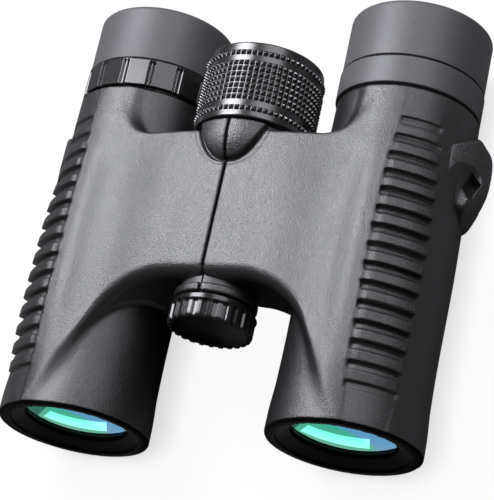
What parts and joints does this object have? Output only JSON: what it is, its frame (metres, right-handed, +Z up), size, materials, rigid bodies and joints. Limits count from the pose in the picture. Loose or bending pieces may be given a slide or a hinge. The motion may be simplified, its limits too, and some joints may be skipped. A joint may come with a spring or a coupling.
{
  "type": "compact binoculars",
  "caption": "Compact folding roof-prism binoculars with a central studded focus wheel, ribbed rubber armour, twist-up eyecups, a diopter ring and strap lugs.",
  "frame": {"origin": "bottom centre of the bounding box: on the surface it lies on, midway between the barrels and midway between the objective rims and the eyecup rims", "axes": "+X across to the left barrel (the user's left), +Y along the barrels towards the eyepieces, +Z up through the top of the bridge"},
  "size_m": [0.1202, 0.112, 0.044],
  "materials": {
    "rubber_armour": "fine grained matte",
    "eyecup_rubber": "smooth satin",
    "wheel_rubber": "glossy studs",
    "black_trim": "gloss",
    "black_plastic": "satin",
    "coated_glass": "green coated",
    "optical_glass": "polished",
    "steel": "turned",
    "aluminium": "cast",
    "brass": "turned"
  },
  "bodies": {
    "hinge_core": {"hinge_axle": "steel", "hinge_sleeve": "steel", "hinge_washers": "brass", "retaining_clips": "steel", "tripod_socket": "brass"},
    "left_half": {"left_housing": "black_plastic", "left_armour": "rubber_armour", "left_strap_lug": "black_plastic", "left_objective_ring": "black_trim", "left_objective_crown": "coated_glass", "left_objective_flint": "optical_glass", "left_objective_cell": "black_plastic", "left_guide_ring": "steel", "left_guide_rod": "steel", "left_prism_plate": "aluminium", "left_prism_screws": "brass", "left_prism_cage": "aluminium", "left_prism_front": "optical_glass", "left_prism_roof": "optical_glass", "left_eyepiece_tube": "black_plastic", "left_field_cell": "black_plastic", "left_field_lens": "optical_glass", "left_eye_lens": "optical_glass", "left_eye_ring": "black_plastic", "left_plain_ring": "black_plastic"},
    "right_half": {"right_housing": "black_plastic", "right_armour": "rubber_armour", "right_strap_lug": "black_plastic", "right_objective_ring": "black_trim", "right_objective_crown": "coated_glass", "right_objective_flint": "optical_glass", "right_objective_cell": "black_plastic", "right_guide_ring": "steel", "right_guide_rod": "steel", "right_prism_plate": "aluminium", "right_prism_screws": "brass", "right_prism_cage": "aluminium", "right_prism_front": "optical_glass", "right_prism_roof": "optical_glass", "right_eyepiece_tube": "black_plastic", "right_eye_lens": "optical_glass", "right_eye_ring": "black_plastic"},
    "focus_wheel": {"focus_hub": "black_plastic", "focus_grip": "wheel_rubber", "focus_cap": "black_trim"},
    "focus_shaft_body": {"focus_shaft": "steel"},
    "left_focuser": {"left_focus_carrier": "black_plastic", "left_focus_lens": "optical_glass"},
    "right_focuser": {"right_focus_carrier": "black_plastic", "right_focus_lens": "optical_glass"},
    "diopter_control": {"right_diopter_ring": "black_trim"},
    "diopter_optics": {"right_diopter_cell": "black_plastic", "right_field_lens": "optical_glass"},
    "left_cup_slider": {"left_eyecup_guide": "black_plastic"},
    "left_cup": {"left_eyecup": "eyecup_rubber"},
    "right_cup_slider": {"right_eyecup_guide": "black_plastic"},
    "right_cup": {"right_eyecup": "eyecup_rubber"},
    "tripod_cap_body": {"tripod_cap": "black_trim"}
  },
  "joints": [
    {"name": "left_fold", "type": "hinge", "parent": "hinge_core", "child": "left_half", "pos_m": [0, 0, 0.0286], "axis": [0, 1, 0], "range_deg": [0, 26]},
    {"name": "right_fold", "type": "hinge", "parent": "hinge_core", "child": "right_half", "pos_m": [0, 0, 0.0286], "axis": [0, -1, 0], "range_deg": [0, 26]},
    {"name": "focus_turn", "type": "hinge", "parent": "hinge_core", "child": "focus_wheel", "pos_m": [0, 0, 0.0286], "axis": [0, 1, 0], "range_deg": [-180, 180]},
    {"name": "focus_shaft_slide", "type": "slide", "parent": "hinge_core", "child": "focus_shaft_body", "axis": [0, 1, 0], "range_m": [-0.0025, 0.0025]},
    {"name": "left_focus_slide", "type": "slide", "parent": "left_half", "child": "left_focuser", "axis": [0, 1, 0], "range_m": [-0.0025, 0.0025]},
    {"name": "right_focus_slide", "type": "slide", "parent": "right_half", "child": "right_focuser", "axis": [0, 1, 0], "range_m": [-0.0025, 0.0025]},
    {"name": "diopter_turn", "type": "hinge", "parent": "right_half", "child": "diopter_control", "pos_m": [-0.036, 0, 0.0189], "axis": [0, 1, 0], "range_deg": [-45, 45]},
    {"name": "diopter_cell_slide", "type": "slide", "parent": "right_half", "child": "diopter_optics", "axis": [0, 1, 0], "range_m": [-0.0015, 0.0015]},
    {"name": "left_cup_rise", "type": "slide", "parent": "left_half", "child": "left_cup_slider", "axis": [0, 1, 0], "range_m": [0, 0.007]},
    {"name": "left_cup_twist", "type": "hinge", "parent": "left_cup_slider", "child": "left_cup", "pos_m": [0.036, 0, 0.0189], "axis": [0, 1, 0], "range_deg": [0, 120]},
    {"name": "right_cup_rise", "type": "slide", "parent": "right_half", "child": "right_cup_slider", "axis": [0, 1, 0], "range_m": [0, 0.007]},
    {"name": "right_cup_twist", "type": "hinge", "parent": "right_cup_slider", "child": "right_cup", "pos_m": [-0.036, 0, 0.0189], "axis": [0, 1, 0], "range_deg": [0, 120]},
    {"name": "tripod_cap_pull", "type": "slide", "parent": "hinge_core", "child": "tripod_cap_body", "axis": [0, -1, 0], "range_m": [0, 0.02]}
  ],
  "couplings": [
    {"joint": "right_fold", "follows": "left_fold", "ratio": 1},
    {"joint": "focus_shaft_slide", "follows": "focus_turn", "m_per_rad": 0.00079577},
    {"joint": "left_focus_slide", "follows": "focus_turn", "m_per_rad": 0.00079577},
    {"joint": "right_focus_slide", "follows": "focus_turn", "m_per_rad": 0.00079577},
    {"joint": "diopter_cell_slide", "follows": "diopter_turn", "m_per_rad": 0.0019099},
    {"joint": "left_cup_rise", "follows": "left_cup_twist", "m_per_rad": 0.0033423},
    {"joint": "right_cup_rise", "follows": "right_cup_twist", "m_per_rad": 0.0033423}
  ]
}
